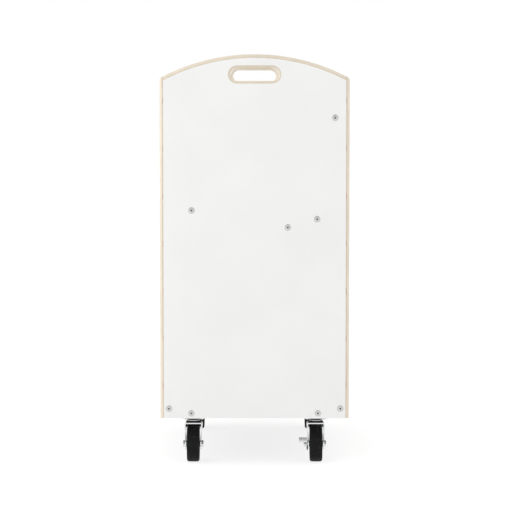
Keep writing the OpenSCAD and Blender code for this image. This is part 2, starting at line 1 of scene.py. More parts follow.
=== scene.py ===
"""Finishes a book trolley: lacquered plywood, white laminate, bright bolts and swivel casters."""

import json
import math

import bmesh
import bpy
import numpy as np
from mathutils import Euler, Matrix, Vector

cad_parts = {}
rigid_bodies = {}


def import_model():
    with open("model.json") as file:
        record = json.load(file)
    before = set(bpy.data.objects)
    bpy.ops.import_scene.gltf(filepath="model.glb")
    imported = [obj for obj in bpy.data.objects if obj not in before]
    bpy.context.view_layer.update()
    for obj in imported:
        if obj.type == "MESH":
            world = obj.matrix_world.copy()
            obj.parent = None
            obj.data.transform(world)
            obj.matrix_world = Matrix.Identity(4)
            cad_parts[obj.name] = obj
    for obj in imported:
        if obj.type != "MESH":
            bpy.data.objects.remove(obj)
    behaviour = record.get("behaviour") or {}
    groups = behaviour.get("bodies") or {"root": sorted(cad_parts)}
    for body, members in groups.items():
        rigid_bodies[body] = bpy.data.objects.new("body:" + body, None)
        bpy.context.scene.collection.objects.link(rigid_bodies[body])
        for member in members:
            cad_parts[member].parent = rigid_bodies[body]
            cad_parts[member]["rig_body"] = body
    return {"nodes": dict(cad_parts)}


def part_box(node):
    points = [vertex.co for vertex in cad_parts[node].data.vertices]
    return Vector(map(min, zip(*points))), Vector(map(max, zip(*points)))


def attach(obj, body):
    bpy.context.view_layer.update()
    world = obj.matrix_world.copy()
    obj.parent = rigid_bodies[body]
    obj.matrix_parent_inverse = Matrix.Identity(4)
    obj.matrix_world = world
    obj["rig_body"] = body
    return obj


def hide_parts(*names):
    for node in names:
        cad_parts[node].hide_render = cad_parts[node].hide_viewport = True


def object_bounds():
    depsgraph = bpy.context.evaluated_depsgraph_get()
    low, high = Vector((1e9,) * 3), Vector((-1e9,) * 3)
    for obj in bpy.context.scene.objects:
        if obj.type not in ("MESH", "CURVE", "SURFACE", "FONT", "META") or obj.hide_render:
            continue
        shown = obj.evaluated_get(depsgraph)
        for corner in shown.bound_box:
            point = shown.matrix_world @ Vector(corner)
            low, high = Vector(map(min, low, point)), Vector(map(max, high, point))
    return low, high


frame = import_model()
CAD_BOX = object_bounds()

bl_info = {
    "name": "Book Trolley Finishes",
    "version": (1, 0, 0),
    "blender": (4, 5, 0),
    "location": "3D View > Sidebar > Trolley",
    "description": "Models the fittings of a book trolley and finishes all its surfaces",
    "category": "Object",
}

MM = 0.001
WELD = 0.001 * MM
POLE = WELD / 10
NODES = frame["nodes"]
CASTERS = ("front_left", "front_right", "rear_left", "rear_right")
BRAKED = tuple(name for name in CASTERS if f"brake_lever_{name}" in NODES)

# Each board: its plywood core, its laminates, and the node that gives its middle plane
BOARDS = (
    ("front_end_panel", "front_panel_laminates", "front_panel_laminates"),
    ("rear_end_panel", "rear_panel_laminates", "rear_panel_laminates"),
    ("base_board", "base_laminates", "base_laminates"),
    ("left_lip_rail", "rail_laminates", "left_lip_rail"),
    ("right_lip_rail", "rail_laminates", "right_lip_rail"),
    ("tilted_shelf", "shelf_laminates", "shelf_laminates"),
    ("back_panel", "back_panel_laminates", "back_panel_laminates"),
)

# Waves to the metre along, across and through the fibres of a ply, and of scratches on metal
FIBRES = (13, 420, 800)
SCRATCHES = (160, 1900, 240)

# The angle from which an edge is shaded sharp, and the steps round a turned and a spun shape
CREASE = math.radians(35)
SIDES = 48
STEPS = 96

# The camera's sensor in millimetres, half the width of the floor in metres, and between which
# upward parts of a direction the light and the backdrop fade
SENSOR = 36
FLOOR_REACH = 30
LIGHT_FADE = (0.62, 0.95)
BACKDROP_FADE = (0.45, 0.85)

# Each lamp: its name, its setting, its width and place in metres, and whether metal mirrors it
LAMPS = (
    ("Key lamp", "key", 2.8, (-2.6, -4.2, 3.8), False),
    ("Left lamp", "left", 2.0, (-3.4, -0.9, 1.6), True),
    ("Right lamp", "right", 2.0, (3.4, -0.9, 1.6), True),
)


# What the user may change


def colour(name, description, default):
    """A colour in linear light."""
    return bpy.props.FloatVectorProperty(
        name=name, description=description, subtype="COLOR", size=3, min=0, max=1, default=default
    )


def length(name, description, default):
    """A length, given in millimetres and held in metres."""
    return bpy.props.FloatProperty(
        name=name, description=description, default=default * MM, min=0,
        unit="LENGTH", subtype="DISTANCE", precision=5,
    )


def angle(name, description, default):
    """An angle, given in degrees and held in radians."""
    return bpy.props.FloatProperty(
        name=name, description=description, default=math.radians(default),
        unit="ROTATION", subtype="ANGLE",
    )


def number(name, description, default, low=0.0, high=100.0):
    """A plain number."""
    return bpy.props.FloatProperty(name=name, description=description, default=default, min=low, max=high)


def count(name, description, default, low, high):
    """A whole number."""
    return bpy.props.IntProperty(name=name, description=description, default=default, min=low, max=high)


class TrolleyBoards(bpy.types.PropertyGroup):
    """Colours and scales of the boards"""

    laminate: colour("Laminate", "Colour of the white laminate", (0.885, 0.885, 0.87))
    long_grain: colour("Long grain", "Ply seen along its fibres", (0.83, 0.75, 0.62))
    end_grain: colour("End grain", "Ply seen at the ends of its fibres", (0.79, 0.69, 0.54))
    glue: colour("Glue line", "Glue between two plies", (0.47, 0.34, 0.22))
    mark: colour("Edge mark", "Darker marks along the side edges", (0.52, 0.36, 0.26))
    # Painted shade: a dark colour for the base board's underside, standing in for the shade under the
    # trolley
    underside_shade: colour("Underside shade", "Painted shade on the base board's underside", (0.045, 0.04, 0.035))
    ply: length("Ply", "Thickness of one ply, about", 1.4)
    mark_pitch: length("Mark pitch", "From one edge mark to the next", 130.5)
    mark_length: length("Mark length", "Length of an edge mark", 19.0)
    mark_width: length("Mark width", "Width of an edge mark", 2.6)
    mark_height: length("Mark height", "Lowest edge mark above the floor", 218.7)
    mark_inset: length("Mark inset", "Middle of a mark, in from the side edge", 8.6)
    marks: count("Marks", "Marks up each side edge", 7, 1, 30)
    stain: number("Stain", "Strength of the faint warm line between the marks", 0.4, 0, 1)


class TrolleyMetal(bpy.types.PropertyGroup):
    """Colours and edges of the metal pieces"""

    nickel: colour("Nickel", "Connector bolts and barrel nuts", (0.6, 0.6, 0.59))
    zinc: colour("Zinc", "Plated steel of the casters", (0.8, 0.81, 0.82))
    steel: colour("Bearing steel", "Races, balls and sleeves", (0.4, 0.4, 0.4))
    # Painted shade: a dark matt colour round the swivel heads, standing in for their shade and dark
    # reflections
    swivel_shade: colour("Swivel shade", "Painted shade and dark reflection round the swivel heads", (0.035, 0.032, 0.03))
    shade_reach: length("Greasy", "How far the painted shade reaches over a crown", 24.0)
    boss: length("Boss", "Rise of a crown's boss", 3.8)
    sheet_edge: length("Sheet edge", "Rounding of pressed sheet", 0.5)
    bend: length("Pedal bend", "Rounding of the pedal's folds", 2.6)


class TrolleyFasteners(bpy.types.PropertyGroup):
    """Sizes of the bolts, nuts and screws"""

    head: length("Head", "Thickness of a connector bolt's head", 2.0)
    rise: length("Rise", "Rise of the head from its rim to its flat", 1.85)
    flat: length("Flat", "Radius of the flat in the middle of the head", 4.3)
    rounding: length("Rounding", "Rounding of the head's rim", 0.3)
    soft: length("Soft", "Half the width of the change from the flat to the slope", 0.4)
    neck: length("Neck", "Diameter of the plain neck", 8.6)
    neck_length: length("Neck length", "Length of the plain neck", 10.0)
    shank: length("Shank", "Diameter of bolt and screw shanks", 6.0)
    thread: length("Thread", "Rise from one turn of the thread to the next", 1.0)
    threaded: length("Threaded", "Length of a connector bolt's threaded end", 26.0)
    socket: length("Socket", "Hex socket across its flats", 4.3)
    socket_depth: length("Socket depth", "Depth of the hex socket", 2.4)
    drill_point: length("Drill point", "Depth of the drilled cone under a socket", 6.0)
    screw_head: length("Screw head", "Height of a plate screw's head", 3.6)
    drive: length("Drive", "Hex drive of a plate screw, across its flats", 4.0)
    slot: length("Slot", "Width of a barrel nut's screwdriver slot", 1.4)
    slot_depth: length("Slot depth", "Depth of a barrel nut's slot", 1.6)
    chamfer: length("Chamfer", "Chamfer of the hexagons and bolt ends", 0.9)
    sleeve: length("Sleeve", "From an axle bolt's surface out to its sleeve's", 1.56)


class TrolleyWheels(bpy.types.PropertyGroup):
    """Colours and sizes of the wheels"""

    rubber: colour("Rubber", "Colour of the tyres", (0.0074, 0.0074, 0.0077))
    plastic: colour("Hub plastic", "Colour of the moulded hubs", (0.0085, 0.0085, 0.009))
    oxide: colour("Dark cam", "Colour of the brake cams", (0.014, 0.014, 0.015))
    tyre: length("Tyre", "Thickness of a tyre", 12.0)
    shoulder: length("Shoulder", "Radius of a tyre's shoulders", 5.0)
    crown: length("Crown", "Swell of the tread in the middle", 0.4)
    seam: length("Seam", "Width of the moulding seam round the tread", 0.7)
    groove: length("Groove", "Depth of the groove round a sidewall", 0.5)
    rim: length("Rim", "Thickness of a hub's rim", 5.0)
    web: length("Web", "Thickness of a hub's web", 10.0)
    boss: length("Boss", "Radius of a hub's boss", 14.0)
    nose: length("Nose", "Radius of the boss where it meets the fork", 8.6)
    gap: length("Gap", "Running clearance of a hub on its sleeve", 0.06)
    ribs: count("Ribs", "Ribs on each side of a hub", 10, 3, 24)


class TrolleyStage(bpy.types.PropertyGroup):
    """Camera, floor and lamps"""

    distance: length("Distance", "Camera to the face of the front panel", 6040.0)
    height: length("Height", "Camera above the floor", 1031.1)
    focal: number("Focal length", "In millimetres, on a sensor 36 mm wide", 156.8, 10, 500)
    pitch: angle("Pitch", "How far the camera looks down", 4.238)
    yaw: angle("Yaw", "How far the camera turns to the left", 0.029)
    floor: colour("Floor", "Colour that the floor throws back", (0.8, 0.8, 0.8))
    sky: number("Sky", "Strength of the light from all around", 0.91, 0, 10)
    zenith: number("Zenith", "Share of that light from straight above", 0.8, 0, 1)
    ceiling: number("Ceiling", "How pale the backdrop is straight above", 0.06, 0, 1)
    key: number("Key lamp", "Power of the lamp at the upper left, in watts", 47.0, 0, 5000)
    left: number("Left lamp", "Power of the lamp at the left side, in watts", 27.0, 0, 5000)
    right: number("Right lamp", "Power of the lamp at the right side, in watts", 12.0, 0, 5000)
    shadow: number("Shadow", "How strongly the floor shows shadows", 0.27, 0, 1)
    glow: number("Glow", "Floor's own light, which keeps it white", 0.8, 0, 2)


# Materials


def feed(tree, socket, value):
    """Links value into socket, or sets it there."""
    if isinstance(value, bpy.types.NodeSocket):
        tree.links.new(value, socket)
    else:
        socket.default_value = (*value, 1) if socket.type == "RGBA" else value


def shader_node(tree, kind, *values, **settings):
    """A new node with its settings, and with its inputs fed in their order."""
    made = tree.nodes.new(f"ShaderNode{kind}")
    for name, setting in settings.items():
        setattr(made, name, setting)
    for socket, value in zip(made.inputs, values):
        feed(tree, socket, value)
    return made


def smooth_range(tree, value, low, high, to_low, to_high):
    """value moved smoothly from one range to another, and held at its ends."""
    given = (value, low, high, to_low, to_high)
    return shader_node(tree, "MapRange", *given, interpolation_type="SMOOTHSTEP").outputs["Result"]


class Finish:
    """One procedural material: a Principled shader, and the nodes that feed it."""

    def __init__(self, name, base, roughness, metallic=0.0, specular=0.5):
        self.material = bpy.data.materials.new(name)
        self.material.use_nodes = True
        self.tree = self.material.node_tree
        self.shader = self.tree.nodes["Principled BSDF"]
        self.set(base_color=base, roughness=roughness, metallic=metallic, specular_ior_level=specular)
        coordinates = self.node("TexCoord")
        self.place = coordinates.outputs["Object"]
        self.normal = coordinates.outputs["Normal"]

    def node(self, kind, *values, **settings):
        """A new node among this material's."""
        return shader_node(self.tree, kind, *values, **settings)

    def feed(self, made, **inputs):
        """Feeds a node's inputs, named in small letters."""
        for name, value in inputs.items():
            title = name.replace("_", " ").title().replace("Ior", "IOR")
            feed(self.tree, made.inputs[title], value)
        return made

    def set(self, **inputs):
        """Feeds the shader's inputs."""
        self.feed(self.shader, **inputs)

    def fed_by(self, name):
        """What feeds one of the shader's inputs."""
        return self.shader.inputs[name].links[0].from_socket

    def math(self, operation, *values):
        """A math node's result."""
        return self.node("Math", *values, operation=operation).outputs[0]

    def vector(self, operation, *values):
        """A vector math node's result: a vector, or for a dot product or a length its number."""
        made = self.node("VectorMath", *values, operation=operation)
        return made.outputs["Value" if operation in ("DOT_PRODUCT", "LENGTH") else "Vector"]

    def mix(self, factor, first, second, kind="RGBA"):
        """Two colours, or two numbers where kind is VALUE, mixed by factor."""
        made = self.node("Mix", factor, data_type="FLOAT" if kind == "VALUE" else "RGBA")
        sockets = {s.name: s for s in made.inputs if s.type == kind and s.name in "AB"}
        feed(self.tree, sockets["A"], first)
        feed(self.tree, sockets["B"], second)
        return next(s for s in made.outputs if s.type == kind)

    def shade(self, base, factor):
        """A colour made darker or lighter by a number."""
        made = self.node("VectorMath", base, operation="SCALE")
        return self.feed(made, scale=factor).outputs["Vector"]

    def spread(self, value, low, high, to_low, to_high):
        """A smooth_range among this material's nodes."""
        return smooth_range(self.tree, value, low, high, to_low, to_high)

    def noise(self, scale, detail=3.0, place=None):
        """Noise from 0 to 1, about scale waves to the metre."""
        made = self.node("TexNoise", place or self.place)
        return self.feed(made, scale=scale, detail=detail).outputs["Fac"]

    def bump(self, height, depth):
        """Raises the surface by up to depth metres."""
        made = self.feed(self.node("Bump"), distance=depth, height=height)
        if self.shader.inputs["Normal"].is_linked:
            self.feed(made, normal=self.fed_by("Normal"))
        self.set(normal=made.outputs["Normal"])


def middle(node):
    """The centre of a node's box."""
    low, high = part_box(node)
    return (low + high) / 2


def facing(node):
    """The direction that a node's largest face looks, turned towards +X, +Y and +Z."""
    normal = max(NODES[node].data.polygons, key=lambda face: face.area).normal.copy()
    return normal if sum(normal) > 0 else -normal


def white_laminate(looks):
    """Satin white laminate: a fine pebbled press, and faint uneven gloss from wiping."""
    finish = Finish("White laminate", looks.laminate, 0.42)
    pebble = finish.noise(850, 2.0)
    broad = finish.noise(5.5, 4.0)
    wiped = finish.noise(38, 5.0)
    tone = finish.spread(broad, 0.3, 0.7, 0.985, 1.012)
    finish.set(
        base_color=finish.shade(looks.laminate, tone),
        roughness=finish.spread(wiped, 0.25, 0.75, 0.36, 0.5),
    )
    finish.bump(pebble, 0.018 * MM)
    return finish


def shaded_underside_laminate(looks):
    """White laminate with painted shade: faces looking down take a dark colour that stands in for the
    shade under the trolley.
    """
    finish = white_laminate(looks)
    finish.material.name = "Backed laminate"
    white = finish.fed_by("Base Color")
    # Painted shade: faces that look downwards take the dark underside colour
    under = finish.math("LESS_THAN", finish.vector("DOT_PRODUCT", finish.normal, (0, 0, 1)), -0.5)
    finish.set(base_color=finish.mix(under, white, looks.underside_shade))
    return finish


def birch_plywood(core, measured, looks, marks=False):
    """Lacquered birch plywood, its plies stacked through the board's own thickness."""
    centre = middle(measured)
    through = facing(measured)
    grain = Vector((0, 0, 1)) if marks else Vector((0, 1, 0))
    across = through.cross(grain)
    turn = Matrix((grain, across, through)).transposed().to_euler()
    reach = [vertex.co.dot(through) for vertex in NODES[core].data.vertices]
    thickness = max(reach) - min(reach)
    plies = 2 * round((thickness / looks.ply - 1) / 2) + 1

    finish = Finish(f"Birch plywood {core}", looks.long_grain, 0.4)
    board = finish.node("Mapping", finish.place, centre, turn, vector_type="TEXTURE").outputs[0]
    parts = finish.node("SeparateXYZ", board)

    # Which ply, how far into it, and whether its grain runs across
    waver = finish.spread(finish.noise(60, 3.0, board), 0.2, 0.8, -0.12, 0.12)
    deep = finish.math("MULTIPLY_ADD", parts.outputs["Z"], plies / thickness, plies / 2)
    deep = finish.math("ADD", deep, waver)
    layer = finish.math("FLOOR", deep)
    crossed = finish.math("MODULO", finish.math("ABSOLUTE", layer), 2.0)
    within = finish.math("ABSOLUTE", finish.math("SUBTRACT", finish.math("FRACT", deep), 0.5))
    chance = finish.feed(finish.node("TexWhiteNoise", noise_dimensions="1D"), w=layer)

    # Fibres: long streaks where they lie in the surface, pores where they end in it
    end_long = finish.math("ABSOLUTE", finish.vector("DOT_PRODUCT", finish.normal, grain))
    end_cross = finish.math("ABSOLUTE", finish.vector("DOT_PRODUCT", finish.normal, across))
    ends = finish.spread(finish.mix(crossed, end_long, end_cross, "VALUE"), 0.1, 0.95, 0, 1)
    fibres = Vector(FIBRES)
    along = finish.noise(1.0, 4.0, finish.vector("MULTIPLY", board, fibres))
    sideways = finish.noise(1.0, 4.0, finish.vector("MULTIPLY", board, fibres.yxz))
    streak = finish.mix(crossed, along, sideways, "VALUE")
    pores = finish.noise(2600, 2.0, board)
    drift = finish.noise(9, 3.0, board)

    wood = finish.mix(ends, looks.long_grain, looks.end_grain)
    tone = finish.spread(streak, 0.28, 0.72, 0.93, 1.05)
    tone = finish.math("MULTIPLY", tone, finish.spread(drift, 0.3, 0.7, 0.96, 1.03))
    shift = finish.math("MULTIPLY_ADD", chance.outputs["Value"], 0.09, 0.95)
    tone = finish.math("MULTIPLY", tone, shift)
    speck = finish.math("MULTIPLY", finish.spread(pores, 0.56, 0.7, 0, 0.22), ends)
    wood = finish.shade(wood, finish.math("SUBTRACT", tone, speck))
    line = finish.spread(within, 0.43, 0.5, 0, 0.26)
    wood = finish.mix(line, wood, looks.glue)
    deepest = finish.math("ABSOLUTE", parts.outputs["Z"])
    skin = finish.spread(deepest, thickness / 2 - 0.8 * MM, thickness / 2 - 0.2 * MM, 0, 0.3)
    wood = finish.mix(skin, wood, looks.glue)
    if marks:
        wood = finish.mix(edge_marks(finish, parts, centre, looks), wood, looks.mark)
    finish.set(
        base_color=wood,
        roughness=finish.spread(streak, 0.2, 0.8, 0.34, 0.52),
        coat_weight=0.3,
        coat_roughness=0.25,
    )
    finish.bump(streak, 0.03 * MM)
    finish.bump(line, -0.05 * MM)
    return finish


def edge_marks(finish, parts, centre, looks):
    """Where the darker marks lie, evenly spaced up both side edges of an end panel."""
    low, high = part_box("front_end_panel")
    from_low = centre.z - looks.mark_height
    turns = finish.math("DIVIDE", finish.math("ADD", parts.outputs["X"], from_low), looks.mark_pitch)
    off = finish.math("ABSOLUTE", finish.math("SUBTRACT", turns, finish.math("ROUND", turns)))
    half = looks.mark_length / 2 / looks.mark_pitch
    lengthways = finish.spread(off, half * 0.75, half * 1.2, 1, 0)
    side = finish.math("ABSOLUTE", parts.outputs["Y"])
    line = (high.x - low.x) / 2 - looks.mark_inset
    beside = finish.math("ABSOLUTE", finish.math("SUBTRACT", side, line))
    sideways = finish.spread(beside, looks.mark_width * 0.35, looks.mark_width * 0.65, 1, 0)
    low_enough = finish.math("LESS_THAN", turns, looks.marks - 0.5)
    strong = finish.math("MULTIPLY", lengthways, low_enough)
    faint = finish.spread(finish.noise(9, 2.0), 0.4, 0.65, 0.4 * looks.stain, looks.stain)
    return finish.math("MULTIPLY", finish.math("MAXIMUM", strong, faint), sideways)


def bright_metal(name, base, smooth, rough):
    """Plated metal: cloudy gloss, a faint crystal pattern and hairline scratches."""
    finish = Finish(name, base, smooth, metallic=1.0)
    cloud = finish.noise(90, 4.0)
    crystals = finish.feed(finish.node("TexVoronoi", finish.place), scale=420)
    fine = finish.node("SeparateColor", crystals.outputs["Color"])
    hair = finish.noise(1.0, 3.0, finish.vector("MULTIPLY", finish.place, SCRATCHES))
    tone = finish.math("MULTIPLY_ADD", fine.outputs[0], 0.05, 0.96)
    finish.set(
        base_color=finish.shade(base, tone),
        roughness=finish.spread(cloud, 0.3, 0.7, smooth, rough),
    )
    finish.bump(hair, 0.006 * MM)
    return finish


def paint_swivel_shade(finish, metal, axis, reach, low):
    """Paints shade: darkens and dulls bright metal near an upright axis and above a height, standing in
    for the shade and dark reflections round a swivel head.
    """
    away = finish.vector("MULTIPLY", finish.vector("SUBTRACT", finish.place, axis), (1, 1, 0))
    near = finish.spread(finish.vector("LENGTH", away), reach - 2 * MM, reach + 1 * MM, 1, 0)
    height = finish.node("SeparateXYZ", finish.place).outputs["Z"]
    above = finish.spread(height, low - 0.3 * MM, low, 0, 1)
    shade_mask = finish.math("MULTIPLY", near, above)
    # Painted shade: inside the mask the metal turns dark, matt and no longer metallic
    finish.set(
        base_color=finish.mix(shade_mask, finish.fed_by("Base Color"), metal.swivel_shade),
        roughness=finish.mix(shade_mask, finish.fed_by("Roughness"), 0.65, "VALUE"),
        metallic=finish.math("SUBTRACT", 1.0, shade_mask),
        specular_ior_level=finish.spread(shade_mask, 0, 1, 0.5, 0.12),
    )
    return finish


def black_rubber(looks):
    """Matt rubber with fine moulded grain and a trace of dust."""
    finish = Finish("Black rubber", looks.rubber, 0.6, specular=0.13)
    dust = finish.spread(finish.noise(70, 5.0), 0.5, 0.75, 0, 0.35)
    dusty = tuple(part + 0.03 for part in looks.rubber)
    finish.set(
        base_color=finish.mix(dust, looks.rubber, dusty),
        roughness=finish.spread(finish.noise(240, 3.0), 0.3, 0.7, 0.52, 0.72),
    )
    finish.bump(finish.noise(1900, 2.0), 0.02 * MM)
    return finish


def dark_moulding(name, base):
    """Dark moulded plastic or blackened steel with a fine spark-eroded texture."""
    finish = Finish(name, base, 0.45, specular=0.18)
    worn = finish.spread(finish.noise(160, 4.0), 0.45, 0.75, 0, 0.4)
    paler = tuple(part * 1.8 + 0.004 for part in base)
    finish.set(
        base_color=finish.mix(worn, base, paler),
        roughness=finish.spread(finish.noise(300, 2.0), 0.3, 0.7, 0.36, 0.56),
    )
    finish.bump(finish.noise(2400, 2.0), 0.012 * MM)
    return finish


def dress(node, finish):
    """Gives a node that stays as it is a finish."""
    node = NODES[node]
    if node.material_slots:
        node.material_slots[0].material = finish.material
    else:
        node.data.materials.append(finish.material)


# Shapes


def copied(node):
    """A closed copy of a node's mesh."""
    bm = bmesh.new()
    bm.from_mesh(NODES[node].data)
    bmesh.ops.remove_doubles(bm, verts=bm.verts, dist=WELD)
    return bm


def closed(bm):
    """Merges the points of a shape that meet, and turns its faces outwards."""
    bmesh.ops.remove_doubles(bm, verts=bm.verts, dist=WELD)
    bmesh.ops.recalc_face_normals(bm, faces=bm.faces)
    return bm


def mesh_of(bm, name):
    """A mesh made from a shape, which is used up."""
    mesh = bpy.data.meshes.new(name)
    bm.to_mesh(mesh)
    bm.free()
    return mesh


def ring_edges(verts):
    """The edges between neighbours in a set of points."""
    return list({edge for v in verts for edge in v.link_edges if set(edge.verts) <= verts})


def turned(rings):
    """A solid about Z, grown ring by ring. A ring is its radius, its height and its flats.

    The points of a ring stay POLE off the axis, which keeps their angles, and are merged last.
    """
    bm = bmesh.new()
    bmesh.ops.create_circle(bm, cap_ends=True, segments=SIDES, radius=1.0)
    verts = set(bm.verts)
    for step, (radius, height, flats) in enumerate(rings):
        if step:
            grown = bmesh.ops.extrude_edge_only(bm, edges=ring_edges(verts))["geom"]
            verts = {part for part in grown if isinstance(part, bmesh.types.BMVert)}
        for vert in verts:
            around = math.atan2(vert.co.y, vert.co.x)
            reach = max(radius, POLE)
            if flats:
                share = 2 * math.pi / flats
                reach = radius / math.cos(around % share - share / 2)
            vert.co = (reach * math.cos(around), reach * math.sin(around), height)
    bmesh.ops.contextual_create(bm, geom=ring_edges(verts))
    return closed(bm)


def bored(rings):
    """A solid about Z with a hole: the rings run round its section and end where they start."""
    bm = turned([*rings, rings[0]])
    caps = [face for face in bm.faces if len(face.verts) == SIDES]
    bmesh.ops.delete(bm, geom=caps, context="FACES_ONLY")
    bmesh.ops.recalc_face_normals(bm, faces=bm.faces)
    return bm


def spun_about_x(outline, centre, steps):
    """A solid about a line along X through centre. The outline is closed: across, and radius."""
    bm = bmesh.new()
    verts = [bm.verts.new(centre + Vector((across, 0, radius))) for across, radius in outline]
    edges = [bm.edges.new(pair) for pair in zip(verts, verts[1:] + verts[:1])]
    bmesh.ops.spin(
        bm, geom=verts + edges, cent=centre, axis=(1, 0, 0), angle=2 * math.pi,
        steps=steps, use_merge=True,
    )
    return closed(bm)


def arc(centre, radius, start, end, steps):
    """Points along an arc, from one angle to another in degrees."""
    turns = [math.radians(start + (end - start) * step / steps) for step in range(steps + 1)]
    return [(centre[0] + radius * math.cos(t), centre[1] + radius * math.sin(t)) for t in turns]


def welded(node):
    """A closed copy of a node's mesh, with each flat stretch as one face."""
    bm = copied(node)
    bmesh.ops.dissolve_limit(
        bm, angle_limit=math.radians(1), use_dissolve_boundaries=False,
        verts=bm.verts, edges=bm.edges, delimit=set(),
    )
    return bm


def eased(bm, width, steps=3, sharper=30, where=None):
    """Rounds the edges that turn by more than sharper degrees."""
    limit = math.radians(sharper)
    sharp = [
        edge
        for edge in bm.edges
        if edge.is_manifold and edge.calc_face_angle() > limit and (where is None or where(edge))
    ]
    bmesh.ops.bevel(
        bm, geom=sharp, offset=width, offset_type="OFFSET", segments=steps,
        profile=0.5, affect="EDGES", clamp_overlap=True, material=-1,
    )
    return bm


def repeated(bm, places):
    """Copies of a shape, one at each place, in one mesh."""
    pattern = mesh_of(bm, "pattern")
    copies = bmesh.new()
    for place in places:
        before = len(copies.verts)
        copies.from_mesh(pattern)
        copies.verts.ensure_lookup_table()
        bmesh.ops.transform(copies, matrix=place, verts=copies.verts[before:])
    bpy.data.meshes.remove(pattern)
    return copies


def piece(name, bm, finish, slot, *nodes):
    """Makes a mesh a finished piece, which stands for nodes and rides with them."""
    mesh = mesh_of(bm, name)
    mesh.shade_smooth()
    mesh.set_sharp_from_angle(angle=CREASE)
    mesh.materials.append(finish.material)
    made = bpy.data.objects.new(name, mesh)
    bpy.context.scene.collection.objects.link(made)
    weighted = made.modifiers.new("Even shading", "WEIGHTED_NORMAL")
    weighted.keep_sharp = True
    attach(made, NODES[nodes[0]]["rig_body"])
    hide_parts(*nodes)
    return made


def solids(node):
    """The points of each separate solid in a node, always in the same order."""
    bm = copied(node)
    left = set(bm.verts)
    found = []
    while left:
        front = [left.pop()]
        group = list(front)
        while front:
            near = {edge.other_vert(v) for v in front for edge in v.link_edges} & left
            left -= near
            front = list(near)
            group += front
        found.append(np.array([v.co for v in group]))
    bm.free()
    return sorted(found, key=lambda points: tuple(points.mean(0).round(4)))


def aimed(origin, direction):
    """A place at origin that turns +Z to a direction."""
    return Matrix.Translation(origin) @ direction.to_track_quat("Z", "Y").to_matrix().to_4x4()


def headed_bolt(sizes, head, under, socket):
    """A bolt about Z, head up: the rings under its head, those of the head, and a hex socket."""
    depth, top = sizes.socket_depth, head[-1][1]
    half = socket / 2
    mouth, lead = half * 1.12, 0.15 * MM
    inside = [
        (mouth, top, 0),
        (half, top - lead, 6),
        (half, top - depth, 6),
        (0.0, top - depth - sizes.drill_point, 0),
    ]
    return turned([*under, *[(radius, height, 0) for radius, height in head], *inside])


def threaded(radius, low, high, pitch):
    """Rings down a threaded shank, as even grooves."""
    turns = max(1, round((high - low) / pitch))
    step = (high - low) / turns
    crest, root = radius, radius - 0.45 * step
    rings = [(root, low, 0)]
    for turn in range(turns):
        start = low + turn * step
        rings += [(crest, start + 0.42 * step, 0), (crest, start + 0.58 * step, 0)]
        rings.append((root, start + step, 0))
    return rings


def hex_head(across, low, high, chamfer):
    """Rings of a hexagon that is chamfered at both faces."""
    half = across / 2
    face = half * 0.955
    return [(face, low, 0), (half, low + chamfer, 6), (half, high - chamfer, 6), (face, high, 0)]


class TrolleyOperator(bpy.types.Operator):
    """What the trolley's operators share"""

    bl_idname = "trolley.common"
    bl_label = "Trolley"
    bl_options = {"REGISTER", "UNDO"}

    def execute(self, context):
        self.make(context.scene)
        return {"FINISHED"}

    def make(self, scene):
        raise NotImplementedError("each operator makes its own pieces")


class TROLLEY_OT_boards(TrolleyOperator):
    """Finishes the plywood cores and their white laminates"""

    bl_idname = "trolley.boards"
    bl_label = "Boards"

    def make(self, scene):
        looks = scene.trolley_boards
        laminate = white_laminate(looks)
        for core, laminates, measured in BOARDS:
            marks = core.endswith("end_panel")
            dress(core, birch_plywood(core, measured, looks, marks))
            dress(laminates, laminate)
        # The base board's laminates take painted shade on their underside
        dress("base_laminates", shaded_underside_laminate(looks))


